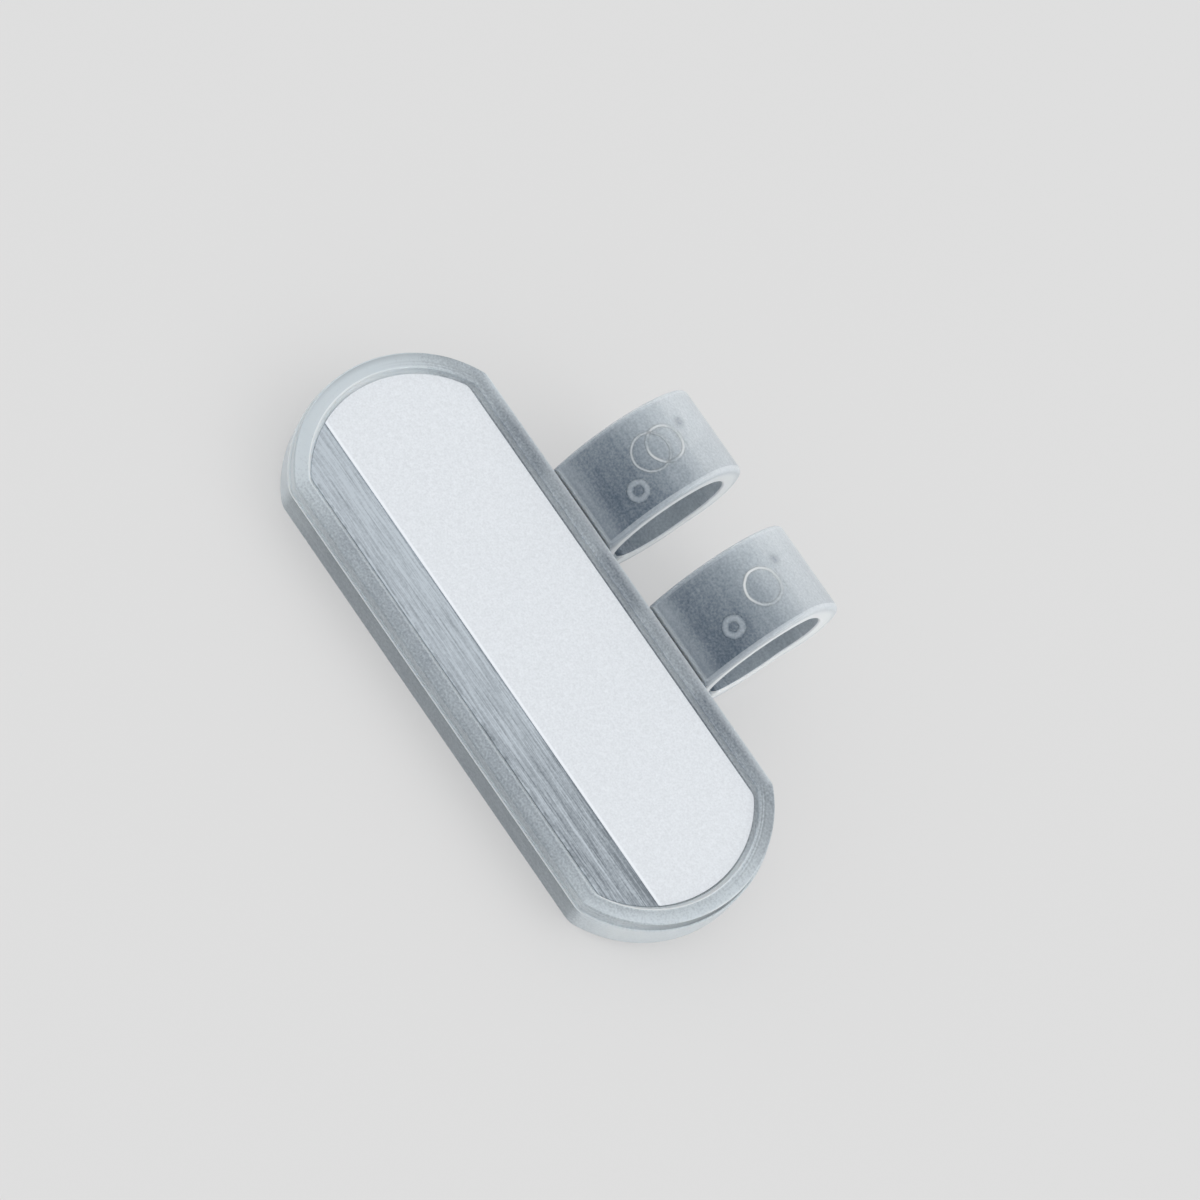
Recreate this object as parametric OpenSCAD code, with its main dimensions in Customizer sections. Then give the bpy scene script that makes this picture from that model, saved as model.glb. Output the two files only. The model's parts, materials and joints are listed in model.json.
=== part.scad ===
// Stethoscope ID tag: a frosted plastic name tag that clips beside a stethoscope's tube.
// It lies as it would on a table: on the backs of its two bands and one lower edge of its body.

/* [Raised face] */
// Length of the raised face from end to end
face_len = 55.6; // [50:0.1:62]
// Width of the raised face between its straight sides
face_w = 20.2; // [17:0.1:21.4]
// Radius of the bowed ends
end_r = 11.2; // [10.8:0.1:14]
// Width of the flat rim round the recess
rim_w = 1.4; // [1:0.05:1.8]
// Height of the raised face above the ledge
face_h = 1.4; // [1:0.05:2]

/* [Lower tier] */
// Width of the ledge that runs round the raised face
ledge_w = 0.25; // [0.15:0.05:0.5]
// Thickness of the whole body, face to back
body_t = 4.8; // [4.2:0.1:6]
// Thickness of the skirt round the open back
skirt_t = 1.4; // [1:0.1:2]
// Thickness of the floor under the label
floor_t = 1.3; // [1:0.1:1.6]

/* [Label] */
// Depth of the writing surface below the rim
panel_depth = 0.4; // [0.3:0.05:0.8]
// Thickness of the silver label
foil_t = 0.3; // [0.2:0.05:0.4]
// Thickness of the white writing film
panel_t = 0.12; // [0.08:0.02:0.2]
// Width of the groove between the label and the rim
groove_w = 0.35; // [0.2:0.05:0.6]
// Width of the bare silver strip beside the writing film
strip_w = 3.9; // [2.5:0.1:6]

/* [Tube bands] */
// Radius of the hole that holds the tube
bore_r = 5.7; // [5.4:0.05:6.2]
// Thickness of the band
band_t = 1.95; // [1.7:0.05:2.4]
// Width of each band along the tube
band_w = 8.5; // [6:0.1:12]
// Distance between the middles of the two bands
band_pitch = 14.4; // [13:0.1:24]
// Radius that softens the band's outer edges
band_edge_r = 0.45; // [0.2:0.05:0.8]
// Distance of the tube's axis from the raised face's side
axis_out = 7.45; // [7:0.05:7.7]
// Depth of the tube's axis below the face
axis_down = 3.3; // [2.8:0.05:3.8]
// Direction of the band's free end from the tube's axis, in degrees
free_end = 231; // [222:1:245]

/* [Hidden] */
$fn = 96;

// Heights are measured from the rim, which is at zero, so what lies below it is negative.
foil_top = -panel_depth - panel_t;
recess_floor = foil_top - foil_t;
cavity_top = recess_floor - floor_t;

// The label follows the face's outline at this distance inside it.
label_in = rim_w + groove_w;
label_w = face_w - 2 * label_in;

// The bands' place beside the body
axis_y = face_w / 2 + axis_out;
side_y = face_w / 2 + ledge_w;
band_r = bore_r + band_t;

// Each band's mouth opens where its root ends, level with the body's back.
root_end = 180 + atan((body_t - axis_down) / (axis_y - side_y));

// The tag rests on the line along its lower left edge and on the bands' backs.
rest_y = axis_y + side_y;
rest_z = body_t - axis_down;
rest_tilt = asin(band_r / norm([rest_y, rest_z])) - atan2(rest_z, rest_y);

// Lowest and outermost places after the tag has been tilted
low_z = -side_y * sin(rest_tilt) - body_t * cos(rest_tilt);
left_y = min(-side_y * cos(rest_tilt) + face_h * sin(rest_tilt), -face_w / 2 * cos(rest_tilt));
right_y = axis_y * cos(rest_tilt) + axis_down * sin(rest_tilt) + band_r;
mid_y = (left_y + right_y) / 2;

// Room past a face that a cut goes through
past = 1;

frosted = [0.80, 0.84, 0.87, 0.85];
silver = [0.68, 0.71, 0.74];
writing_white = [0.90, 0.92, 0.94];

// Straight sides with a bowed end on each
module outline(len, w, end_radius) {
    end_x = len / 2 - end_radius;
    square([2 * end_x, w], center = true);
    for (end = [-1, 1]) intersection() {
        translate([end * end_x, 0]) circle(end_radius);
        square([len + 2 * past, w], center = true);
    }
}

// A plate with the face's outline, moved in by a distance or out by a negative one, between two heights
module face_plate(inside, low, high) {
    translate([0, 0, low]) linear_extrude(high - low)
        outline(face_len - 2 * inside, face_w - 2 * inside, end_r - inside);
}

// Tilts the tag as it lies and sets its box's middle over the origin
module at_rest() {
    translate([0, -mid_y, -low_z]) rotate([rest_tilt, 0, 0]) children();
}

module tag_body() {
    color(frosted) at_rest() difference() {
        union() {
            face_plate(-ledge_w, -body_t, -face_h);
            face_plate(0, -face_h, 0);
        }
        face_plate(rim_w, recess_floor, past);
        face_plate(skirt_t - ledge_w, -body_t - past, cavity_top);
    }
}

module foil_label() {
    color(silver) at_rest() face_plate(label_in, recess_floor, foil_top);
}

module write_on_panel() {
    film_left = -label_w / 2 + strip_w;
    color(writing_white) at_rest() intersection() {
        face_plate(label_in, foil_top, foil_top + panel_t);
        translate([-face_len / 2, film_left, foil_top - past]) cube([face_len, label_w, panel_t + 2 * past]);
    }
}

// Section of the band: plain on the bore's side, with soft edges outside
module band_section() {
    translate([bore_r, -band_w / 2]) square([band_t - band_edge_r, band_w]);
    translate([bore_r, -band_w / 2 + band_edge_r]) square([band_t, band_w - 2 * band_edge_r]);
    for (end = [-1, 1]) {
        translate([band_r - band_edge_r, end * (band_w / 2 - band_edge_r)]) circle(band_edge_r, $fn = 32);
    }
}

// The band's mouth, seen along the tube: a wedge from the tube's axis
module mouth_wedge() {
    reach = 2 * band_r;
    middle = (root_end + free_end) / 2;
    polygon([[0, 0], for (turn = [root_end, middle, free_end]) reach * [cos(turn), sin(turn)]]);
}

// A band round the tube's axis, open at its mouth and cut flat where it joins the body's side
module tube_band(middle_x) {
    translate([middle_x, axis_y, -axis_down]) difference() {
        rotate([90, 0, 90]) rotate_extrude() band_section();
        rotate([90, 0, 90]) translate([0, 0, -band_w]) linear_extrude(2 * band_w) mouth_wedge();
        translate([-band_w, side_y - axis_y - 2 * band_r, -2 * band_r])
            cube([2 * band_w, 2 * band_r, 4 * band_r]);
    }
}

module clip_upper() {
    color(frosted) at_rest() tube_band(-band_pitch / 2);
}

module clip_lower() {
    color(frosted) at_rest() tube_band(band_pitch / 2);
}

tag_body();
foil_label();
write_on_panel();
clip_upper();
clip_lower();
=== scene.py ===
"""Stethoscope ID tag: a frosted body, a brushed label with a writing film, and two open bands."""
import json
import math
from collections import namedtuple

import bpy
from bpy.props import FloatProperty, FloatVectorProperty, IntProperty, PointerProperty
from mathutils import Matrix, Vector


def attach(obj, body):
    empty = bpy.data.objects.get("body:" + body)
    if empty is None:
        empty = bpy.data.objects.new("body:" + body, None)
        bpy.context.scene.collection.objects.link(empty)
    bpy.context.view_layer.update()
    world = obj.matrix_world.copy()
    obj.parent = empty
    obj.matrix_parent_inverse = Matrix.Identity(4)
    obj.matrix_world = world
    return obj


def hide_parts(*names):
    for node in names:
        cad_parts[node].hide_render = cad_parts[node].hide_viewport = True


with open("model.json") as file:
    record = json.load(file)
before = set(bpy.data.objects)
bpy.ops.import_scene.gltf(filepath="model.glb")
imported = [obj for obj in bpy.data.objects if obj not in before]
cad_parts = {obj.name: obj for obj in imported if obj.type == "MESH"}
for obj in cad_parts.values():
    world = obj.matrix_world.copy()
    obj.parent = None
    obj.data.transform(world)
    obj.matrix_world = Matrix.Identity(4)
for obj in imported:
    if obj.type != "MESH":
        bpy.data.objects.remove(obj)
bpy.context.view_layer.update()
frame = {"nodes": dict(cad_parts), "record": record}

bl_info = {
    "name": "Stethoscope ID Tag",
    "version": (1, 0, 0),
    "blender": (4, 5, 0),
    "location": "View3D > Sidebar > ID Tag",
    "description": "Builds a clip-on name tag and the table that it lies on",
    "category": "Object",
}

MM = 0.001
BODY = "root"

# The solids' own measures, with x to the tag's lower end, y to its bands and z out of its face


def measured_tilt():
    """How far the tag leans about its long axis, from the normal of its label's largest triangle."""
    mesh = frame["nodes"]["foil_label"].data
    face = max((p for p in mesh.polygons if p.normal.z > 0), key=lambda p: p.area)
    return math.atan2(-face.normal.y, face.normal.z)


TILT = measured_tilt()
UPRIGHT = Matrix.Rotation(-TILT, 4, "X")


def upright_box(node):
    """A node's lowest and highest corners once the tag's lean is taken out."""
    points = [UPRIGHT @ v.co for v in frame["nodes"][node].data.vertices]
    return [Vector(pick(p[i] for p in points) for i in range(3)) for pick in (min, max)]


BODY_LOW, BODY_HIGH = upright_box("tag_body")
CENTRE = Vector((0, (BODY_LOW.y + BODY_HIGH.y) / 2, BODY_HIGH.z))
TAG_TO_TABLE = UPRIGHT.inverted() @ Matrix.Translation(CENTRE)


def tag_box(node):
    """A node's lowest and highest corners in the tag's own frame."""
    return [corner - CENTRE for corner in upright_box(node)]


FOIL_LOW, FOIL_HIGH = tag_box("foil_label")
FILM_LOW, FILM_HIGH = tag_box("write_on_panel")
BAND_BOXES = {node: tag_box(node) for node in ("clip_upper", "clip_lower")}
BAND_MIDDLES = {node: (low.x + high.x) / 2 for node, (low, high) in BAND_BOXES.items()}
BAND_LOW, BAND_HIGH = BAND_BOXES["clip_upper"]
BORE_MOUNT = next(m for m in frame["record"]["mounts"] if m["name"] == "tube_bands")
BORE_AXIS = TAG_TO_TABLE.inverted() @ Vector(BORE_MOUNT["pos_m"])
BORE_R = BORE_MOUNT["dims"]["r_mm"] * MM
BAND_R = BAND_HIGH.y - BORE_AXIS.y
LEDGE = 0.25 * MM
# How much narrower the label is on each side than its solid
LABEL_TRIM = 0.06 * MM


def length(name, description, default):
    """A size that a user can change."""
    return FloatProperty(name=name, description=description, default=default, unit="LENGTH", precision=5)


def turn(name, description, degrees):
    """An angle that a user can change."""
    return FloatProperty(name=name, description=description, default=math.radians(degrees), unit="ROTATION")


def count(name, description, default, low, high):
    """A number of steps that a user can change."""
    return IntProperty(name=name, description=description, default=default, min=low, max=high)


def strength(name, description, default):
    """A light's strength that a user can change."""
    return FloatProperty(name=name, description=description, default=default)


def colour(name, description, default):
    """A colour that a user can change."""
    return FloatVectorProperty(name=name, description=description, default=default, subtype="COLOR", size=3)


class BodySizes(bpy.types.PropertyGroup):
    """Sizes of the moulded body."""
    face_length: length("Face Length", "Length of the raised face", BODY_HIGH.x - BODY_LOW.x - 2 * LEDGE)
    face_width: length("Face Width", "Width of the raised face", BODY_HIGH.y - BODY_LOW.y - 2 * LEDGE)
    end_radius: length("End Radius", "Radius of the bowed ends", 11.2 * MM)
    face_corner: length("Face Corner", "Radius of the raised face's corners", 1.2 * MM)
    recess_corner: length("Recess Corner", "Radius of the recess's corners", 1.2 * MM)
    low_corner: length("Lower Corner", "Radius of the corners below the ledge", 2.2 * MM)
    rim_width: length("Rim Width", "Width of the flat rim round the recess", 1.4 * MM)
    face_height: length("Face Height", "Height of the raised face above the ledge", 1.4 * MM)
    ledge_width: length("Ledge Width", "Width of the ledge round the raised face", LEDGE)
    thickness: length("Thickness", "Thickness of the whole body", BODY_HIGH.z - BODY_LOW.z)
    skirt: length("Skirt", "Thickness of the skirt round the open back", 1.4 * MM)
    floor: length("Floor", "Thickness of the floor under the label", 1.3 * MM)
    around: count("Points Around", "Points round the outline", 240, 48, 480)


class LabelSizes(bpy.types.PropertyGroup):
    """Sizes of the silver label and its writing film."""
    inset: length("Inset", "Distance of the label inside the face's outline",
                  (BODY_HIGH.y - BODY_LOW.y - FOIL_HIGH.y + FOIL_LOW.y) / 2 - LEDGE + LABEL_TRIM)
    shift: length("Shift", "How far the label lies off the middle, away from the bands", 0.07 * MM)
    flatter: length("Flatter Ends", "Extra radius of the label's ends over the face's", 0.4 * MM)
    bottom: length("Bottom", "Height of the recess's floor, below the rim", FOIL_LOW.z)
    top: length("Top", "Height of the silver face", FOIL_HIGH.z)
    film_top: length("Film Top", "Height of the writing surface", FILM_HIGH.z)
    film_edge: length("Film Edge", "Where the film's straight edge lies across the tag", FILM_LOW.y)
    corner: length("Label Corner", "Radius of the label's corners", 1.3 * MM)
    bevel: length("Bevel", "Softened edge of the label and the film", 0.04 * MM)


class BandSizes(bpy.types.PropertyGroup):
    """Sizes of the two bands."""
    bore: length("Bore Radius", "Radius of the hole through the bands", BORE_R)
    outer: length("Outer Radius", "Radius of the band's outside", BAND_R)
    width: length("Width", "Width of a band along its bore", BAND_HIGH.x - BAND_LOW.x)
    edge: length("Edge Radius", "Radius of the band's outer edges", 0.45 * MM)
    bore_edge: length("Bore Edge Radius", "Radius of the band's edges at the bore", 0.15 * MM)
    root_turn: turn("Root Turn", "Direction of the root's end from the bore's axis", 192)
    free_turn: turn("Free Turn", "Direction of the free end from the bore's axis", 231)
    root_fillet: length("Root Fillet", "Height of the fillet where a band meets the body's side", 0.6 * MM)
    seam: length("Seam", "Gap between a band and the body's side", 0.02 * MM)
    flare_upper: length("Upper Flare", "How much wider the upper band is at its far side", 0.22 * MM)
    flare_lower: length("Lower Flare", "How much wider the lower band is at its far side", 0.42 * MM)
    steps: count("Steps", "Steps along a band", 96, 24, 240)


class Finishes(bpy.types.PropertyGroup):
    """Colours of the three finishes."""
    plastic: colour("Plastic", "Frosted plastic", (0.70, 0.765, 0.805))
    # The deep colours are what the grain and the painted shade darken the plastic towards; the edge colour
    # below is a painted highlight, and the crease colour a painted shade
    plastic_deep: colour("Deep Plastic", "Frosted plastic where it looks thick", (0.12, 0.155, 0.205))
    band_deep: colour("Deep Band", "The bands' plastic where it looks thick", (0.085, 0.13, 0.185))
    plastic_edge: colour("Plastic Edge", "Edges that catch the light", (0.90, 0.96, 1.0))
    plastic_crease: colour("Plastic Crease", "Inner corners", (0.16, 0.19, 0.21))
    foil: colour("Foil", "Brushed silver", (0.56, 0.62, 0.675))
    foil_dark: colour("Dark Brushing", "The darker scratches of the silver", (0.22, 0.25, 0.28))
    film: colour("Film", "White writing film", (0.75, 0.785, 0.825))


class StageSettings(bpy.types.PropertyGroup):
    """The table, the lights and the camera."""
    table: colour("Table", "Pale table", (0.30, 0.30, 0.30))
    glow: strength("Table Glow", "Strength of the light table's own light", 0.415)
    key: strength("Key Light", "Strength of the main light", 0.55)
    spread: turn("Key Spread", "Angle over which the main light is spread", 50)
    fill: strength("Surrounding Light", "Strength of the light from all round", 0.88)
    distance: length("Camera Distance", "From the tag to the camera", 430 * MM)
    azimuth: turn("Azimuth", "Camera's direction about the face's normal", -69.6)
    elevation: turn("Elevation", "Camera's height over the face", 66.03)
    roll: turn("Roll", "Camera's turn about its own axis", 36.37)
    shift_right: length("Aim Right", "How far right of the face's middle the camera aims", 5.518 * MM)
    shift_up: length("Aim Up", "How far above the face's middle the camera aims", 2.914 * MM)
    pixel: length("Pixel", "Size of one of the picture's pixels at the tag", 0.0842 * MM)


SETTINGS = {
    "idtag_body": BodySizes,
    "idtag_label": LabelSizes,
    "idtag_bands": BandSizes,
    "idtag_finishes": Finishes,
    "idtag_stage": StageSettings,
}

# Node trees, written as expressions


def operation(kind, swapped=False):
    """A method of Value that adds one kind of Math node."""

    def method(self, *others):
        return self.graph.math(kind, *((*others, self) if swapped else (self, *others)))

    return method


class Value:
    """A node's output that Python arithmetic can use: each operation adds a Math node."""

    def __init__(self, graph, socket):
        self.graph = graph
        self.socket = socket

    __add__ = __radd__ = operation("ADD")
    __sub__ = operation("SUBTRACT")
    __rsub__ = operation("SUBTRACT", swapped=True)
    __mul__ = __rmul__ = operation("MULTIPLY")
    __truediv__ = operation("DIVIDE")
    __mod__ = operation("MODULO")
    __abs__ = operation("ABSOLUTE")
    __lt__ = operation("LESS_THAN")
    __gt__ = operation("GREATER_THAN")


class Outputs:
    """The outputs of a node that was just made, by name or number."""

    def __init__(self, graph, made):
        self.graph = graph
        self.made = made

    def __getitem__(self, key):
        return Value(self.graph, self.made.outputs[key])


class Graph:
    """Adds nodes to one tree."""

    def __init__(self, tree):
        self.tree = tree

    def node(self, kind, inputs=None, **settings):
        """Makes a node: its settings are set first, then the values or links of its sockets."""
        made = self.tree.nodes.new(kind)
        for name, value in settings.items():
            setattr(made, name, value)
        self.fill(made, inputs or {})
        return Outputs(self, made)

    def fill(self, made, inputs):
        """Sets or links a node's sockets; a list is several links to one socket."""
        for key, value in inputs.items():
            for each in value if isinstance(value, list) else [value]:
                self.feed(made.inputs[key], each)

    def feed(self, socket, value):
        """Links a value to a socket, or sets the socket to a plain number, colour, vector or material."""
        if isinstance(value, Value):
            self.tree.links.new(value.socket, socket)
        else:
            socket.default_value = value

    def math(self, kind, *values):
        return self.node("ShaderNodeMath", dict(enumerate(values)), operation=kind)[0]

    def clamp(self, value, low=0.0, high=1.0):
        return self.math("MINIMUM", self.math("MAXIMUM", value, low), high)

    def step(self, value, low, high):
        """0 below low, 1 above high, and smooth between them."""
        inputs = {0: value, 1: low, 2: high, 3: 0.0, 4: 1.0}
        return self.node("ShaderNodeMapRange", inputs, interpolation_type="SMOOTHSTEP")[0]

    def between(self, value, low, high):
        """low where a value is 0, and high where it is 1."""
        return low + value * (high - low)

    def split(self, vector):
        made = self.node("ShaderNodeSeparateXYZ", {0: vector})
        return made[0], made[1], made[2]

    def join(self, x, y, z):
        return self.node("ShaderNodeCombineXYZ", {0: x, 1: y, 2: z})[0]

    def vector(self, kind, a, b, output="Vector"):
        return self.node("ShaderNodeVectorMath", {0: a, 1: b}, operation=kind)[output]

    def blend(self, factor, a, b):
        """Mixes two colours."""
        return self.node("ShaderNodeMix", {0: factor, 6: a, 7: b}, data_type="RGBA")[2]


def opaque(rgb, factor=1.0):
    """A colour property, lighter or darker by a factor, as the four numbers that a socket takes."""
    return (rgb[0] * factor, rgb[1] * factor, rgb[2] * factor, 1)


# Sections, which are rows of corners

# Painted highlight and shade on the plastic in eight directions from the tag's middle
Shade = namedtuple("Shade", "lower low_right right up_right upper up_left left low_left")
SIDES = len(Shade._fields)


def even(pale):
    """The same painted light and shade on all sides."""
    return Shade(*[pale] * SIDES)


# A corner of a section: its place, its fillet, the outline's corner radius there, and the painted light and
# shade of the fillet and of the flat that follows it
Corner = namedtuple("Corner", "out height fillet corner_r edge flat", defaults=[even(0.0), even(0.0)])
SectionPoint = namedtuple("SectionPoint", ("place",) + Shade._fields)
# How far beside a fillet the flat's shading starts to be even
SUPPORT = 0.03 * MM


def fillet_points(before, corner, after, steps):
    """Points round one corner's fillet, with one more on each flat beside it."""
    here = Vector((corner.out, corner.height))
    back = (Vector((before.out, before.height)) - here).normalized()
    ahead = (Vector((after.out, after.height)) - here).normalized()
    half = back.angle(ahead) / 2
    reach = corner.fillet / math.tan(half)
    centre = here + (back + ahead).normalized() * (corner.fillet / math.sin(half))
    first = here + back * reach - centre
    last = here + ahead * reach - centre
    sweep = first.angle_signed(last)
    arc = [centre + Matrix.Rotation(-sweep * k / steps, 2) @ first for k in range(steps + 1)]
    beside = min(SUPPORT, reach / 4)
    return [
        (arc[0] + back * beside, before.flat),
        *((p, corner.edge) for p in arc),
        (arc[-1] + ahead * beside, corner.flat),
    ]


def rounded(corners, steps=7):
    """A section's points from its corners; an open section ends in two that have no fillet."""
    points = []
    for i, corner in enumerate(corners):
        if corner.fillet == 0:
            places = [(Vector((corner.out, corner.height)), corner.edge)]
        else:
            places = fillet_points(corners[i - 1], corner, corners[(i + 1) % len(corners)], steps)
        points += [SectionPoint((p.x, p.y, corner.corner_r), *shade) for p, shade in places]
    return points


# Geometry node trees

# Each point's painted light: a highlight above 0 and crease shade below 0
LIGHT = "edge_light"
MERGE = 0.001 * MM


def geometry_graph(name, lengths, counts=()):
    """A new geometry tree with a named input for each length and count, and one for the material."""
    tree = bpy.data.node_groups.new(name, "GeometryNodeTree")
    tree.interface.new_socket("Geometry", in_out="OUTPUT", socket_type="NodeSocketGeometry")
    kinds = {"Geometry": ["Geometry"], "Float": lengths, "Int": counts, "Material": ["Material"]}
    for kind, keys in kinds.items():
        for key in keys:
            tree.interface.new_socket(key, in_out="INPUT", socket_type="NodeSocket" + kind)
    graph = Graph(tree)
    return graph, graph.node("NodeGroupInput")


def close_graph(graph, parts, material):
    """Ends a geometry tree and returns it: the parts are joined, their doubles merged, the material set."""
    joined = graph.node("GeometryNodeJoinGeometry", {0: parts})[0]
    merged = graph.node("GeometryNodeMergeByDistance", {"Geometry": joined, "Distance": MERGE})[0]
    smooth = graph.node("GeometryNodeSetShadeSmooth", {"Geometry": merged, "Shade Smooth": True})[0]
    finished = graph.node("GeometryNodeSetMaterial", {"Geometry": smooth, "Material": material})[0]
    graph.node("NodeGroupOutput", {"Geometry": finished})
    return graph.tree


def sampled(graph, source, value, row, kind="FLOAT"):
    """A field's value at one point of another mesh."""
    inputs = {"Geometry": source, "Value": value, "Index": row}
    return graph.node("GeometryNodeSampleIndex", inputs, data_type=kind, domain="POINT")[0]


def section_points(graph, sizes):
    """The section that a tree's object draws, its number of points, and their positions."""
    section = sizes["Geometry"]
    rows = graph.node("GeometryNodeAttributeDomainSize", {"Geometry": section})["Point Count"]
    return section, rows, graph.node("GeometryNodeInputPosition")[0]


def named(graph, name):
    """A number that a mesh keeps at each of its points."""
    return graph.node("GeometryNodeInputNamedAttribute", {"Name": name}, data_type="FLOAT")["Attribute"]


def moved(graph, mesh, place, light):
    """Puts a mesh's points in their places and writes down the painted highlight and shade of each one's
    plastic.
    """
    inputs = {"Geometry": mesh, "Name": LIGHT, "Value": light}
    marked = graph.node("GeometryNodeStoreNamedAttribute", inputs, data_type="FLOAT", domain="POINT")[0]
    return graph.node("GeometryNodeSetPosition", {"Geometry": marked, "Position": place})[0]


def swept(graph, placed, lines, steps, material):
    """Ends a tree with a wall of lines and a cap on the first and last; returns the tree.

    placed moves a mesh's points to their places, by the line that each is on and its step there.
    """
    index = graph.node("GeometryNodeInputIndex")[0]
    across = steps + 1
    grid = graph.node("GeometryNodeMeshGrid", {"Vertices X": lines, "Vertices Y": across})[0]
    wall = placed(grid, graph.math("FLOOR", (index + 0.5) / across), index % across)
    disc = graph.node("GeometryNodeMeshCircle", {"Vertices": steps}, fill_type="NGON")[0]
    first = placed(disc, 0, index)
    last = graph.node("GeometryNodeFlipFaces", {0: placed(disc, lines - 1, index)})[0]
    return close_graph(graph, [wall, first, last], material)


def outline_point(graph, turn, out, corner_r, sizes):
    """The outline's point where its outward normal has the direction turn, moved out by a distance."""
    cos, sin = graph.math("COSINE", turn), graph.math("SINE", turn)
    end_r = sizes["End Radius"]
    end_x = sizes["Length"] / 2 - end_r
    corner_y = sizes["Width"] / 2 - corner_r
    reach = end_r - corner_r
    corner_x = end_x + graph.math("SQRT", reach * reach - corner_y * corner_y)
    on_end = abs(sin) < corner_y / reach
    radius = corner_r + (end_r - corner_r) * on_end + out
    centre_x = corner_x + (end_x - corner_x) * on_end
    centre_y = corner_y * (1 - on_end)
    x = graph.math("SIGN", cos) * centre_x + radius * cos
    y = graph.math("SIGN", sin) * centre_y + radius * sin
    return x, y


OUTLINE_LENGTHS = ["Length", "Width", "End Radius", "Inset", "Straight Cut", "Side Shift"]


def outline_tree():
    """Sweeps a section round the tag's outline and caps both of its ends.

    The object's own points draw the section: x is the distance out, y the height and z the outline's
    corner radius.
    """
    graph, sizes = geometry_graph("Swept Outline", OUTLINE_LENGTHS, ["Points Around"])
    section, rows, place = section_points(graph, sizes)
    around = sizes["Points Around"]

    def placed(mesh, row, step):
        """Moves a mesh's points to their row of the section and their step round the outline."""
        out, height, corner_r = graph.split(sampled(graph, section, place, row, "FLOAT_VECTOR"))
        turn = (step + 0.5) * math.tau / around
        x, y = outline_point(graph, turn, out - sizes["Inset"], corner_r, sizes)
        y = graph.math("MAXIMUM", y, sizes["Straight Cut"] - out) - sizes["Side Shift"]
        # Each point's painted light and shade blends the section's eight directional shades by its
        # direction round the outline
        eighths = (turn / (math.tau / SIDES) + SIDES) % SIDES
        light = 0.0
        for direction, key in enumerate(Shade._fields):
            away = graph.math("WRAP", eighths - direction, SIDES / 2, -SIDES / 2)
            share = graph.math("MAXIMUM", 1 - abs(away), 0.0)
            light = light + sampled(graph, section, named(graph, key), row) * share
        return moved(graph, mesh, graph.join(x, y, height), light)

    return swept(graph, placed, rows, around, sizes["Material"])


def linked(name, data):
    """A new object in the scene."""
    made = bpy.data.objects.new(name, data)
    bpy.context.scene.collection.objects.link(made)
    return made


def grown(name, points, tree, values):
    """Runs a geometry tree on loose points and returns the result as a plain mesh object."""
    mesh = bpy.data.meshes.new(name)
    mesh.from_pydata([p.place for p in points], [], [])
    for key in points[0]._fields[1:]:
        column = mesh.attributes.new(key, "FLOAT", "POINT")
        column.data.foreach_set("value", [getattr(p, key) for p in points])
    seed = linked(name + "_seed", mesh)
    modifier = seed.modifiers.new(tree.name, "NODES")
    modifier.node_group = tree
    sockets = {s.name: s.identifier for s in tree.interface.items_tree if s.in_out == "INPUT"}
    for key, value in values.items():
        modifier[sockets[key]] = value
    evaluated = seed.evaluated_get(bpy.context.evaluated_depsgraph_get())
    made = bpy.data.meshes.new_from_object(evaluated)
    made.name = name
    bpy.data.objects.remove(seed)
    bpy.data.meshes.remove(mesh)
    made.transform(TAG_TO_TABLE)
    return linked(name, made)


# Materials

# Tones, from 0 for a plastic's deep colour to 1 for its pale one: base tones for the body, the band and
# the mark, darkening for the real spots, and painted light and shade by place for the rest
TONE = {
    "body": 0.55,
    "upper end": 0.6,
    "lower end": 0.38,
    "ends on the right": 0.18,
    "right side": 0.24,
    "beside the bands": 0.21,
    "band": 0.12,
    "far side": 0.55,
    "along the band": 0.02,
    "spot": 0.35,
    "mark": 0.06,
    "mark's far side": 0.25,
}
# Where tones fade, in millimetres from the tag's middle, the bore's axis, a band's middle or an edge
FADE = {
    "ends": (14.0, 26.0),
    "right side": (3.0, 9.0),
    "beside a band": (3.2, 5.4),
    "rim inside": (8.3, 8.8),
    "rim outside": (9.4, 10.0),
    "across a band": (-5.5, 2.8),
    "across a mark": (0.0, 4.0),
    "spot": (0.1, 0.9),
    "silver": (-6.0, 26.0),
    "chips": (0.1, 0.4),
    "silver by the film": (-0.24, -0.12),
    "film's edge": (0.08, 0.26),
}
# How strongly each of these changes the plastic
MILKY = {"cloud": 0.2, "flow": 0.4}
# How strongly each of these darkens the silver; the darkening by the film is a painted shadow of its edge
BRUSHING = {
    "plain": 0.22,
    "lower end": 0.46,
    "fine": 1.6,
    "coarse": 0.8,
    "speck": 0.5,
    "scratches": 1.3,
    "lower scratches": 0.4,
    "chips": 2.6,
    "by the film": 0.35,
}
# How strongly each of these mottles the film, and how light its mottle and the painted highlight on its
# edge are
MOTTLING = {"mottle": 0.8, "speck": 1.8, "darkest": 0.92, "lightest": 1.08, "edge": 1.16}
TABLE_DARKEST = 0.985


def shader_graph(name):
    """A new material; returns it, its graph, its Principled shader and the place in the tag's frame."""
    material = bpy.data.materials.new(name)
    material.use_nodes = True
    graph = Graph(material.node_tree)
    shader = next(n for n in graph.tree.nodes if n.type == "BSDF_PRINCIPLED")
    return material, graph, shader, tag_coordinates(graph)


def tag_coordinates(graph):
    """Object coordinates turned into the tag's own frame, in millimetres."""
    at = graph.node("ShaderNodeTexCoord")["Object"]
    inputs = {"Vector": at, "Location": TAG_TO_TABLE.translation, "Rotation": (TILT, 0, 0)}
    local = graph.node("ShaderNodeMapping", inputs, vector_type="TEXTURE")[0]
    return graph.vector("MULTIPLY", local, (1 / MM, 1 / MM, 1 / MM))


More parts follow.
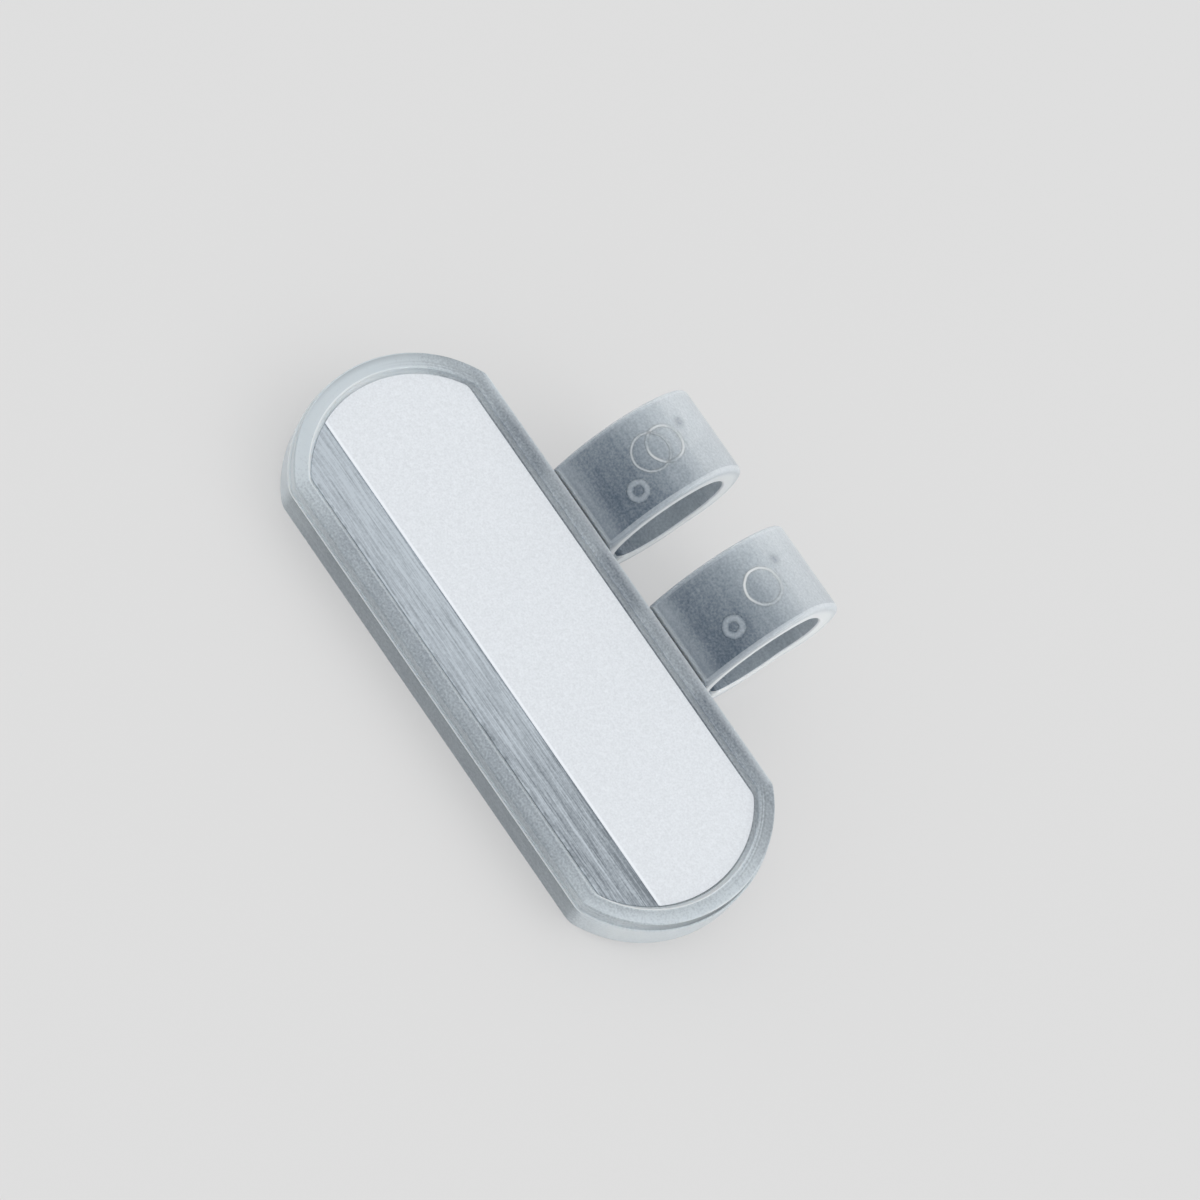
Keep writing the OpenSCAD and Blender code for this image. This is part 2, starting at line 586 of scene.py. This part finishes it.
def noise(graph, place, scale, detail=2.0, stretch=(1, 1, 1), roughness=0.5):
    """Noise in cells of about 1 / scale millimetres, which a small stretch factor draws out."""
    at = graph.vector("MULTIPLY", place, stretch)
    inputs = {"Vector": at, "Scale": scale, "Detail": detail, "Roughness": roughness}
    return graph.node("ShaderNodeTexNoise", inputs)[0]


def bump(graph, height, strength, distance):
    """A surface's normal, from a height and the distance in millimetres that it stands for."""
    inputs = {"Height": height, "Strength": strength, "Distance": distance * MM}
    return graph.node("ShaderNodeBump", inputs)["Normal"]


def frosted_plastic(name, finishes, deep, tone_at, see_through, rough, grainy):
    """Milky plastic: cloudy and grainy, with painted highlights on its edges and painted shade in its
    creases; tone_at gives its tone at a place, mostly painted light and shade.
    """
    material, graph, shader, at = shader_graph(name)
    grain = noise(graph, at, scale=5.0)
    cloud = (noise(graph, at, scale=0.45, detail=3.0) - 0.5) * MILKY["cloud"]
    flow = (noise(graph, at, scale=2.4, stretch=(0.05, 1, 1)) - 0.5) * grainy * MILKY["flow"]
    tone = tone_at(graph, at) + cloud + (grain - 0.5) * grainy + flow
    # Painted highlight on edges where the edge light is above 0, and painted crease shade where it is below
    # 0
    edge = graph.node("ShaderNodeAttribute", attribute_name=LIGHT)["Fac"]
    body = graph.blend(graph.clamp(tone), opaque(deep), opaque(finishes.plastic))
    pale = graph.blend(graph.clamp(edge), body, opaque(finishes.plastic_edge))
    base = graph.blend(graph.clamp(0 - edge), pale, opaque(finishes.plastic_crease))
    graph.fill(shader, {
        "Base Color": base,
        "Roughness": graph.between(grain, 0.36, 0.52),
        "IOR": 1.49,
        "Transmission Weight": see_through,
        "Subsurface Weight": 0.6,
        "Subsurface Radius": (1.0, 1.05, 1.1),
        "Subsurface Scale": 0.35 * MM,
        "Normal": bump(graph, grain, strength=rough, distance=0.03),
    })
    return material


def body_painted_light(graph, at):
    """Painted light and shade: lighter at the ends and beside the bands, where light comes through, and
    darker along the sides, most of all the right one.
    """
    x, y, _ = graph.split(at)
    upper = TONE["upper end"] * graph.step(0 - x, *FADE["ends"])
    lower = TONE["lower end"] * graph.step(x, *FADE["ends"])
    right = graph.step(y, *FADE["right side"])
    ends = (upper + lower) * (1 - TONE["ends on the right"] * right)
    beside = 0.0
    for middle in BAND_MIDDLES.values():
        away = abs(x - middle / MM)
        beside = beside + (1 - graph.step(away, *FADE["beside a band"]))
    on_rim = graph.step(y, *FADE["rim inside"]) * (1 - graph.step(y, *FADE["rim outside"]))
    return TONE["body"] + ends - TONE["right side"] * right + TONE["beside the bands"] * beside * on_rim


# Small soft dark spots on the bands: which band, the direction from the bore's axis in degrees, and how
# many millimetres along the bore from the band's middle
Spot = namedtuple("Spot", "band turn along")
SPOTS = [Spot("clip_upper", 67.0, -1.39), Spot("clip_lower", 67.7, -1.42)]


def spotted(graph, at):
    """1 in the middle of a spot, fading to 0 at its edge."""
    total = 0.0
    for spot in SPOTS:
        turn = math.radians(spot.turn)
        across = BORE_AXIS.y + BAND_R * math.cos(turn)
        height = BORE_AXIS.z + BAND_R * math.sin(turn)
        middle = Vector((BAND_MIDDLES[spot.band] + spot.along * MM, across, height)) / MM
        away = graph.vector("DISTANCE", at, middle, "Value")
        total = total + (1 - graph.step(away, *FADE["spot"]))
    return total


def fade_across(graph, y, low, high):
    """0 on the body's side and 1 on the far side, between two distances from the bore's axis."""
    return graph.step(y, BORE_AXIS.y / MM + low, BORE_AXIS.y / MM + high)


def band_painted_light_and_spots(graph, at):
    """Painted shade by the body and painted light towards the band's upper end and its far side, with the
    real spots darker.
    """
    x, y, _ = graph.split(at)
    along = x - graph.math("SIGN", x) * (BAND_MIDDLES["clip_lower"] / MM)
    far = TONE["far side"] * fade_across(graph, y, *FADE["across a band"])
    return TONE["band"] + far - TONE["along the band"] * along - TONE["spot"] * spotted(graph, at)


def mark_painted_light_and_spots(graph, at):
    """The bands' painted light, shade and spots as they look on the marks, with more painted light on their
    far side.
    """
    _, y, _ = graph.split(at)
    far = TONE["mark's far side"] * fade_across(graph, y, *FADE["across a mark"])
    return band_painted_light_and_spots(graph, at) - TONE["mark"] + far


def brushed_foil(name, finishes):
    """Silver foil brushed lengthwise, with deeper scratches, a darker tone towards its lower end and a
    painted shadow beside the film's edge.
    """
    material, graph, shader, at = shader_graph(name)
    x, y, _ = graph.split(at)
    fine = noise(graph, at, scale=7.0, detail=4.0, stretch=(0.035, 1, 1), roughness=0.7)
    coarse = noise(graph, at, scale=3.0, stretch=(0.02, 1, 1))
    speck = noise(graph, at, scale=5.0)
    rough = (fine - 0.5) * BRUSHING["fine"] + (coarse - 0.5) * BRUSHING["coarse"]
    rough = rough + (speck - 0.5) * BRUSHING["speck"]
    lower = graph.step(x, *FADE["silver"])
    plain = BRUSHING["plain"] + BRUSHING["lower end"] * lower
    scratches = rough * (BRUSHING["scratches"] + BRUSHING["lower scratches"] * lower)
    chips = noise(graph, at, scale=2.2, detail=3.0, stretch=(0.45, 1, 1)) - 0.5
    chipped = chips * (1 - graph.step(y - FOIL_LOW.y / MM, *FADE["chips"])) * BRUSHING["chips"]
    # Painted shadow of the film's edge on the silver beside it
    beside = graph.step(y - FILM_LOW.y / MM, *FADE["silver by the film"])
    dark = graph.clamp(plain + scratches + chipped + BRUSHING["by the film"] * beside)
    graph.fill(shader, {
        "Base Color": graph.blend(dark, opaque(finishes.foil), opaque(finishes.foil_dark)),
        "Roughness": graph.between(dark, 0.34, 0.54),
        "Metallic": 0.8,
        "Normal": bump(graph, fine + coarse * 0.5, strength=0.4, distance=0.02),
    })
    return material


def writing_film(name, finishes):
    """Matt white film with a faint mottle and a painted highlight along its cut edge."""
    material, graph, shader, at = shader_graph(name)
    mottle = noise(graph, at, scale=2.6)
    speck = noise(graph, at, scale=6.0)
    tone = graph.clamp((mottle - 0.5) * MOTTLING["mottle"] + (speck - 0.5) * MOTTLING["speck"] + 0.5)
    low, high, white = (opaque(finishes.film, MOTTLING[key]) for key in ("darkest", "lightest", "edge"))
    _, y, _ = graph.split(at)
    # Painted highlight along the film's cut edge
    edge = 1 - graph.step(y - FILM_LOW.y / MM, *FADE["film's edge"])
    graph.fill(shader, {
        "Base Color": graph.blend(edge, graph.blend(tone, low, high), white),
        "Roughness": graph.between(mottle, 0.48, 0.60),
        "Normal": bump(graph, speck, strength=0.12, distance=0.02),
    })
    return material


def table_top(name, stage):
    """Pale matt light table, which keeps the shadows faint."""
    material, graph, shader, at = shader_graph(name)
    cloud = noise(graph, at, scale=0.02)
    low = opaque(stage.table, TABLE_DARKEST)
    graph.fill(shader, {
        "Base Color": graph.blend(cloud, low, opaque(stage.table)),
        "Roughness": 0.75,
        "Emission Color": (1, 1, 1, 1),
        "Emission Strength": stage.glow,
    })
    return material


# The body and the label

# Painted highlight and shade on the body's edges and on the flats between them, from the groove outwards
# and down
SHADES = {
    "groove": Shade(-1.0, -0.7, -0.6, -0.6, 0.2, -0.3, -0.1, 0.1),
    "groove floor": Shade(-0.5, 0, 0.1, 0, 1.0, -0.2, 0.15, -0.2),
    "recess foot": Shade(1.0, 0.15, 0.4, 0.1, 1.0, 0.5, 0.3, 0.3),
    "recess wall": Shade(1.0, 0.15, 0.3, 0.1, 1.0, 0.9, 0.35, 0.8),
    "recess lip": Shade(1.0, -0.1, 0.05, -0.1, 0.9, 1.0, 0.25, 1.0),
    "rim": Shade(0.2, -0.3, 0.5, -0.3, -0.35, 0.05, -0.08, 0.4),
    "rim edge": Shade(0.6, -0.2, 0.6, -0.4, 0.3, -0.2, -0.25, -0.3),
    "face wall": Shade(-0.9, 0, 0, 0, 0.6, 0.5, 0.1, -0.06),
    "wall foot": Shade(-0.8, 0, 0, 0, 0.6, 0.5, 0.6, 0.05),
    "ledge": Shade(0.1, 0, 0, 0, 0.8, 0.8, 0.9, 0.6),
    "ledge edge": Shade(0.3, 0, 0, 0, 0.8, 0.8, 0.75, 0.6),
    "lip": Shade(0.35, 0, 0, 0, 0.6, 0.6, -0.9, 0.75),
    "side": Shade(0.4, 0, 0, 0, 0.5, 0.4, -0.45, 0.9),
    "low side": Shade(0.4, 0, 0, 0, 0.3, 0.3, -0.35, 0.7),
    "foot": Shade(0.1, 0, 0, 0, 0.1, 0.1, -0.3, 0.3),
    "back edge": Shade(-0.3, 0, 0, 0, -0.2, -0.3, -0.1, -0.3),
}
# Faint painted light and shade lines along the rim, where it has fine moulding steps: how far each lies
# outside the recess, in millimetres, and its shade
RIM_LINES = [
    (0.2, Shade(0, 0.3, 0, 0.1, 0.1, 0.1, -0.05, 0)),
    (0.3, Shade(-0.1, -0.5, -0.05, -0.3, 0.1, 0.1, -0.15, -0.2)),
    (0.42, Shade(-0.08, 0.3, 0, 0, 0.1, 0.1, -0.05, -0.1)),
    (0.54, Shade(-0.06, -0.5, -0.1, -0.3, 0.1, 0.1, 0, -0.05)),
    (0.7, Shade(0.05, -0.12, -0.04, -0.1, 0.1, 0.1, 0, 0.1)),
]
# Radii of the body's soft edges, in millimetres
SOFT = {
    "recess foot": 0.25,
    "recess lip": 0.13,
    "rim edge": 0.11,
    "wall foot": 0.08,
    "ledge edge": 0.12,
    "back edge": 0.1,
    "skirt edge": 0.3,
    "ceiling": 0.4,
}
# How far the groove's floor lies below the silver face, and how far it runs in under the label's edge
GROOVE_DEPTH = 0.06 * MM
GROOVE_REACH = 0.45 * MM
# How far the painted shades of the ledge's lip and of the body's foot reach down and up its side
LIP = 0.35 * MM
FOOT = 0.5 * MM
# Where the flat middles of the open back's ceiling and of the label's plates begin, inside their edges
CEILING_REACH = 0.6 * MM
PLATE_REACH = 0.5 * MM
# A straight cut so far out that it takes nothing off
NO_CUT = -1.0


def body_section(body, label):
    """The body's section, from the label's groove outwards, down the side and in under the floor."""
    recess = -body.rim_width
    ceiling = label.bottom - body.floor
    skirt = body.ledge_width - body.skirt
    face, low, inner = body.face_corner, body.low_corner, body.recess_corner + body.rim_width
    side, ledge, back = body.ledge_width, -body.face_height, -body.thickness
    groove = label.top - GROOVE_DEPTH

    def corner(out, height, corner_r, edge, flat=even(0.0)):
        """A soft edge, with the painted light and shade of its fillet and of the flat that follows."""
        return Corner(out, height, SOFT[edge] * MM, corner_r, SHADES[edge], flat)

    return rounded([
        Corner(recess - GROOVE_REACH, groove, 0, inner, SHADES["groove"], SHADES["groove floor"]),
        corner(recess, groove, inner, "recess foot", SHADES["recess wall"]),
        corner(recess, 0, inner, "recess lip"),
        *(Corner(recess + away * MM, 0, 0, face, shade, SHADES["rim"]) for away, shade in RIM_LINES),
        corner(0, 0, face, "rim edge", SHADES["face wall"]),
        corner(0, ledge, face, "wall foot", SHADES["ledge"]),
        corner(side, ledge, low, "ledge edge", SHADES["lip"]),
        Corner(side, ledge - LIP, 0, low, SHADES["side"]),
        Corner(side, back + FOOT, 0, low, SHADES["low side"], SHADES["foot"]),
        corner(side, back, low, "back edge"),
        Corner(skirt, back, SOFT["skirt edge"] * MM, low, even(0.1)),
        Corner(skirt, ceiling, SOFT["ceiling"] * MM, low),
        Corner(skirt - CEILING_REACH, ceiling, 0, low),
    ])


def outline_values(body, inset, material):
    """The outline tree's inputs, which the body, the label and the film share."""
    return {
        "Length": body.face_length,
        "Width": body.face_width,
        "End Radius": body.end_radius,
        "Inset": inset,
        "Straight Cut": NO_CUT,
        "Side Shift": 0.0,
        "Points Around": body.around,
        "Material": material,
    }


def settle(piece, slot, *nodes):
    """Makes a finished piece ride on the part and stand for its nodes; its slot is not used."""
    if not piece.data.polygons:
        raise RuntimeError(piece.name + " came out with no faces")
    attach(piece, BODY)
    if nodes:
        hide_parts(*nodes)


class IDTAG_OT_body(bpy.types.Operator):
    """Builds the moulded body: rim, recess, ledge, skirt and open back"""
    bl_idname = "idtag.body"
    bl_label = "Build Body"

    def execute(self, context):
        body, label = context.scene.idtag_body, context.scene.idtag_label
        finishes = context.scene.idtag_finishes
        material = frosted_plastic("frosted_body", finishes, finishes.plastic_deep, body_painted_light,
                                   see_through=0.25, rough=0.2, grainy=1.0)
        values = outline_values(body, 0.0, material)
        piece = grown("moulded_body", body_section(body, label), outline_tree(), values)
        settle(piece, "frosted_plastic", "tag_body")
        return {"FINISHED"}


class IDTAG_OT_label(bpy.types.Operator):
    """Lays the brushed silver label in the recess and the white film on it"""
    bl_idname = "idtag.label"
    bl_label = "Build Label"

    def execute(self, context):
        body, label = context.scene.idtag_body, context.scene.idtag_label
        finishes = context.scene.idtag_finishes
        tree = outline_tree()

        def plate(name, low, high, cut, material, slot, node):
            """A thin plate with soft edges between two heights, cut straight along one side"""
            corner_r = label.corner + label.inset
            corners = [
                Corner(-PLATE_REACH, high, 0, corner_r),
                Corner(0, high, label.bevel, corner_r),
                Corner(0, low, label.bevel, corner_r),
                Corner(-PLATE_REACH, low, 0, corner_r),
            ]
            values = outline_values(body, label.inset, material)
            values["Straight Cut"] = cut
            values["Side Shift"] = label.shift
            values["End Radius"] += label.flatter
            settle(grown(name, rounded(corners, steps=3), tree, values), slot, node)

        silver = brushed_foil("brushed_silver", finishes)
        white = writing_film("matt_film", finishes)
        top, film_top, edge = label.top, label.film_top, label.film_edge
        plate("silver_label", label.bottom, top, NO_CUT, silver, "brushed_foil", "foil_label")
        plate("white_film", top, film_top, edge, white, "writing_film", "write_on_panel")
        return {"FINISHED"}


# The bands

# How far inside a band's edges their painted highlight ends, and how far inside the soft edge its painted
# shade line lies
EDGE_FADE = 1.4 * MM
DARK_LINE = 0.2 * MM
# Steps round the rounded nose at each end of a band
NOSE_STEPS = 8
# How far the fillet at a band's root reaches, in its own heights
FILLET_REACH = 2.5
# The wide painted light along a band's root: how far it reaches, where in that it fades, and how pale it is
GLOW_REACH = 2.0 * MM
GLOW_FADE = (0.25, 0.75)
GLOW = 0.18
# The thin painted light line in it, which lightens the seam's shade: how far it reaches and how pale it is
ROOT_LINE_REACH = 0.1 * MM
ROOT_LINE = 0.8
# Where across a band its flare grows, as shares of the outer radius
FLARE_FADE = (0.4, 0.95)
ROUND_LENGTHS = ["Axis Across", "Axis Height", "Outer Radius"]
BAND_LENGTHS = ["Middle", "Bore Radius", "Width", "Edge Radius", "Root Turn", "Free Turn", "Side",
                "Root Fillet", "Flare", *ROUND_LENGTHS]


def band_section(sizes):
    """Closed section of a band, as radius and place along the bore; its lower end face has the strongest
    painted highlight, with a painted shade line inside its soft edge.
    """
    half = sizes.width / 2
    fade = half - EDGE_FADE
    line = half - sizes.edge - DARK_LINE
    return rounded([
        Corner(sizes.bore, -half, sizes.bore_edge, 0, even(0.3), even(0.15)),
        Corner(sizes.outer, -half, sizes.edge, 0, even(0.2), even(0.05)),
        Corner(sizes.outer, -fade, 0, 0),
        Corner(sizes.outer, fade, 0, 0),
        Corner(sizes.outer, line, 0, 0, even(-0.25), even(-0.1)),
        Corner(sizes.outer, half, sizes.edge, 0, even(0.35), even(0.4)),
        Corner((sizes.outer + sizes.bore) / 2, half, 0, 0, even(0.9), even(1.0)),
        Corner(sizes.bore, half, sizes.bore_edge, 0, even(1.0)),
    ])


def band_tree():
    """Sweeps the closed section that the object's own points draw, with a rounded nose at each end."""
    graph, sizes = geometry_graph("Swept Band", BAND_LENGTHS, ["Steps"])
    section, rows, place = section_points(graph, sizes)
    edge = sizes["Edge Radius"]
    middle_r = (sizes["Bore Radius"] + sizes["Outer Radius"]) / 2
    core_r = middle_r - sizes["Bore Radius"] - edge
    core_w = sizes["Width"] / 2 - edge
    nose = edge / middle_r

    def placed(mesh, ring, row):
        """Moves a mesh's points to their ring round the bore and their row of the section."""
        row = row % rows
        radius, along, _ = graph.split(sampled(graph, section, place, row, "FLOAT_VECTOR"))
        inner = graph.clamp(ring - NOSE_STEPS, 0.0, sizes["Steps"])
        swing = (ring - NOSE_STEPS - inner) * (math.pi / 2 / NOSE_STEPS)
        shrink = graph.math("COSINE", swing)
        # The sweep runs from the root over the band's top to its free end, which is the long way round.
        start = sizes["Root Turn"] + math.tau - nose
        sweep = sizes["Free Turn"] + nose - start
        turn = start + sweep * inner / sizes["Steps"] - nose * graph.math("SINE", swing)
        off_r = radius - middle_r
        keep_r = graph.math("MINIMUM", abs(off_r), core_r) * graph.math("SIGN", off_r)
        keep_w = graph.math("MINIMUM", abs(along), core_w) * graph.math("SIGN", along)
        radius = middle_r + keep_r + (off_r - keep_r) * shrink
        along = keep_w + (along - keep_w) * shrink
        y = sizes["Axis Across"] + radius * graph.math("COSINE", turn)
        z = sizes["Axis Height"] + radius * graph.math("SINE", turn)
        far = graph.step((y - sizes["Axis Across"]) / sizes["Outer Radius"], *FLARE_FADE)
        along = along + far * sizes["Flare"] * graph.math("MAXIMUM", along, 0.0) * 2 / sizes["Width"]
        y = graph.math("MAXIMUM", y, sizes["Side"])
        off = y - sizes["Side"]
        near = graph.clamp(1 - off / (sizes["Root Fillet"] * FILLET_REACH))
        z = z + sizes["Root Fillet"] * near * near * (off_r > 0) * (z > sizes["Axis Height"])
        # Painted light along the band's root, where it is paler than the section's painted light
        glow = (1 - graph.step(off / GLOW_REACH, *GLOW_FADE)) * GLOW
        root = glow + graph.clamp(1 - off / ROOT_LINE_REACH) * ROOT_LINE
        light = graph.math("MAXIMUM", sampled(graph, section, named(graph, "lower"), row), root)
        return moved(graph, mesh, graph.join(sizes["Middle"] + along, y, z), light)

    rings = sizes["Steps"] + (2 * NOSE_STEPS + 1)
    return swept(graph, placed, rings, rows, sizes["Material"])


# Round marks on the bands, in millimetres and degrees: which band, the direction from the bore's axis,
# how far along the bore from the band's middle, the ring's radius, half its line's width, its height, how
# pale it is, its own whiteness and painted highlight together, where round the ring the painted highlight
# is brightest, how many painted highlight arcs it has, and how wavy it is
Mark = namedtuple("Mark", "band turn along ring line height pale palest lobes wave")
MARKS = [
    Mark("clip_upper", 86.0, -0.29, 1.66, 0.15, 0.04, 0.80, -100, 3, 0.004),
    Mark("clip_upper", 97.3, -0.29, 1.72, 0.13, 0.03, 0.52, -10, 1, 0.004),
    Mark("clip_upper", 118.4, 1.88, 0.74, 0.32, 0.04, 0.30, 0, 0, 0.015),
    Mark("clip_lower", 87.2, 0.15, 1.66, 0.15, 0.04, 1.20, -60, 1, 0.006),
    Mark("clip_lower", 118.4, 1.65, 0.74, 0.34, 0.05, 0.30, 0, 0, 0.02),
]
# The same for the geometry tree, in metres and radians
RingPoint = namedtuple("RingPoint", "place turn along ring line height pale palest lobes wave")
RING_STEPS = 64
LINE_STEPS = 10
# How many small waves run round a ring, by sine and by cosine
WAVES = (9, 5)
# How much of a mark's paleness comes and goes with its arcs of painted highlight
ARCS = 0.45


def ring_point(mark):
    """A mark as one of the points that the geometry tree reads."""
    along = BAND_MIDDLES[mark.band] + mark.along * MM
    ring, line, height = mark.ring * MM, mark.line * MM, mark.height * MM
    turn, palest = math.radians(mark.turn), math.radians(mark.palest)
    return RingPoint((0, 0, 0), turn, along, ring, line, height, mark.pale, palest, mark.lobes, mark.wave)


def mark_tree():
    """Wraps a low round ridge on a band for each of the object's own points."""
    graph, sizes = geometry_graph("Round Marks", ROUND_LENGTHS)
    points = sizes["Geometry"]
    rings, lines = RING_STEPS + 1, LINE_STEPS + 1
    per_ring = rings * lines
    grid = graph.node("GeometryNodeMeshGrid", {"Vertices X": rings, "Vertices Y": lines})[0]
    copies = graph.node("GeometryNodeInstanceOnPoints", {"Points": points, "Instance": grid})[0]
    real = graph.node("GeometryNodeRealizeInstances", {"Geometry": copies})[0]
    index = graph.node("GeometryNodeInputIndex")[0]
    row = graph.math("FLOOR", (index + 0.5) / per_ring)
    turn, along, ring, line, height, pale, palest, lobes, wave = (
        sampled(graph, points, named(graph, key), row) for key in RingPoint._fields[1:])
    step = index % per_ring
    around = graph.math("FLOOR", (step + 0.5) / lines) * (math.tau / RING_STEPS)
    across = step % lines * (math.tau / LINE_STEPS)
    swell = graph.math("SINE", across)
    wavy = 1 + wave * (graph.math("SINE", around * WAVES[0]) + graph.math("COSINE", around * WAVES[1]))
    reach = ring * wavy + line * graph.math("COSINE", across)
    radius = sizes["Outer Radius"] + height * swell * abs(swell)
    turn = turn + reach * graph.math("COSINE", around) / sizes["Outer Radius"]
    x = along + reach * graph.math("SINE", around)
    y = sizes["Axis Across"] + radius * graph.math("COSINE", turn)
    z = sizes["Axis Height"] + radius * graph.math("SINE", turn)
    # Each mark's own whiteness and painted highlight, brightest on its ridge's crown and in its arcs
    light = pale * (1 - ARCS + ARCS * graph.math("COSINE", (around - palest) * lobes)) * swell * swell
    return close_graph(graph, [moved(graph, real, graph.join(x, y, z), light)], sizes["Material"])


class IDTAG_OT_bands(bpy.types.Operator):
    """Sweeps the two bands round their bore and adds the round marks that the mould left on them"""
    bl_idname = "idtag.bands"
    bl_label = "Build Bands"

    def execute(self, context):
        sizes = context.scene.idtag_bands
        finishes = context.scene.idtag_finishes
        material = frosted_plastic("frosted_bands", finishes, finishes.band_deep, band_painted_light_and_spots,
                                   see_through=0.25, rough=0.1, grainy=0.6)
        flares = {"clip_upper": sizes.flare_upper, "clip_lower": sizes.flare_lower}
        outside = dict(zip(ROUND_LENGTHS, (BORE_AXIS.y, BORE_AXIS.z, sizes.outer)))
        tree = band_tree()
        section = band_section(sizes)
        for node, middle in BAND_MIDDLES.items():
            values = {
                **outside,
                "Middle": middle,
                "Bore Radius": sizes.bore,
                "Width": sizes.width,
                "Edge Radius": sizes.edge,
                "Root Turn": sizes.root_turn - math.tau,
                "Free Turn": sizes.free_turn - math.tau,
                "Side": context.scene.idtag_body.face_width / 2 + LEDGE + sizes.seam,
                "Root Fillet": sizes.root_fillet,
                "Flare": flares[node],
                "Steps": sizes.steps,
                "Material": material,
            }
            settle(grown(node.replace("clip", "band"), section, tree, values), "frosted_plastic", node)
        material = frosted_plastic("pale_marks", finishes, finishes.band_deep, mark_painted_light_and_spots,
                                   see_through=0.1, rough=0.1, grainy=0.6)
        points = [ring_point(mark) for mark in MARKS]
        piece = grown("mould_marks", points, mark_tree(), {**outside, "Material": material})
        settle(piece, "frosted_plastic")
        return {"FINISHED"}


# The stage

# Half the table's side, in metres
TABLE_HALF = 3.0
# Where the main light comes from
KEY_FROM = (0.8, 0.45, 1.0)
# Half the picture's side, in pixels
HALF_PICTURE = 600


class IDTAG_OT_stage(bpy.types.Operator):
    """Sets the pale table, the soft lights and the camera"""
    bl_idname = "idtag.stage"
    bl_label = "Set Stage"

    def execute(self, context):
        scene, stage = context.scene, context.scene.idtag_stage
        scene.view_settings.view_transform = "Standard"
        self.lay_table(stage)
        self.light(scene, stage)
        self.place_camera(scene, stage)
        return {"FINISHED"}

    def lay_table(self, stage):
        mesh = bpy.data.meshes.new("table")
        corners = [(x * TABLE_HALF, y * TABLE_HALF, 0) for x, y in ((-1, -1), (1, -1), (1, 1), (-1, 1))]
        mesh.from_pydata(corners, [], [(0, 1, 2, 3)])
        mesh.materials.append(table_top("pale_table", stage))
        linked("table", mesh)

    def light(self, scene, stage):
        world = bpy.data.worlds.new("studio")
        world.use_nodes = True
        sky = next(n for n in world.node_tree.nodes if n.type == "BACKGROUND")
        Graph(world.node_tree).fill(sky, {"Color": (1, 1, 1, 1), "Strength": stage.fill})
        scene.world = world
        lamp = bpy.data.lights.new("key", "SUN")
        lamp.energy = stage.key
        lamp.angle = stage.spread
        linked("key", lamp).rotation_euler = Vector(KEY_FROM).to_track_quat("Z", "Y").to_euler()

    def place_camera(self, scene, stage):
        out, height = math.cos(stage.elevation), math.sin(stage.elevation)
        direction = Vector((out * math.cos(stage.azimuth), out * math.sin(stage.azimuth), height))
        level = Vector((0, 0, 1)).cross(direction).normalized()
        steep = direction.cross(level)
        right = level * math.cos(stage.roll) + steep * math.sin(stage.roll)
        up = steep * math.cos(stage.roll) - level * math.sin(stage.roll)
        place = direction * stage.distance + right * stage.shift_right + up * stage.shift_up
        turned = Matrix((right, up, direction)).transposed().to_4x4()
        lens = bpy.data.cameras.new("camera")
        lens.lens = lens.sensor_width / 2 * stage.distance / (HALF_PICTURE * stage.pixel)
        scene.camera = linked("camera", lens)
        scene.camera.matrix_world = TAG_TO_TABLE @ Matrix.Translation(place) @ turned


class IDTAG_PT_tools(bpy.types.Panel):
    """Lists the tag's pieces and their settings"""
    bl_label = "ID Tag"
    bl_space_type = "VIEW_3D"
    bl_region_type = "UI"
    bl_category = "ID Tag"

    def draw(self, context):
        for operator in OPERATORS:
            self.layout.operator(operator.bl_idname)
        for key, group in SETTINGS.items():
            box = self.layout.box()
            box.label(text=group.__doc__)
            for name in group.__annotations__:
                box.prop(getattr(context.scene, key), name)


OPERATORS = [IDTAG_OT_body, IDTAG_OT_label, IDTAG_OT_bands, IDTAG_OT_stage]
CLASSES = [*SETTINGS.values(), *OPERATORS, IDTAG_PT_tools]


def register():
    for each in CLASSES:
        bpy.utils.register_class(each)
    for key, group in SETTINGS.items():
        setattr(bpy.types.Scene, key, PointerProperty(type=group))


def unregister():
    for key in SETTINGS:
        delattr(bpy.types.Scene, key)
    for each in reversed(CLASSES):
        bpy.utils.unregister_class(each)


def main():
    register()
    bpy.ops.idtag.body()
    bpy.ops.idtag.label()
    bpy.ops.idtag.bands()
    bpy.ops.idtag.stage()
    bpy.context.view_layer.update()


if __name__ == "__main__":
    main()
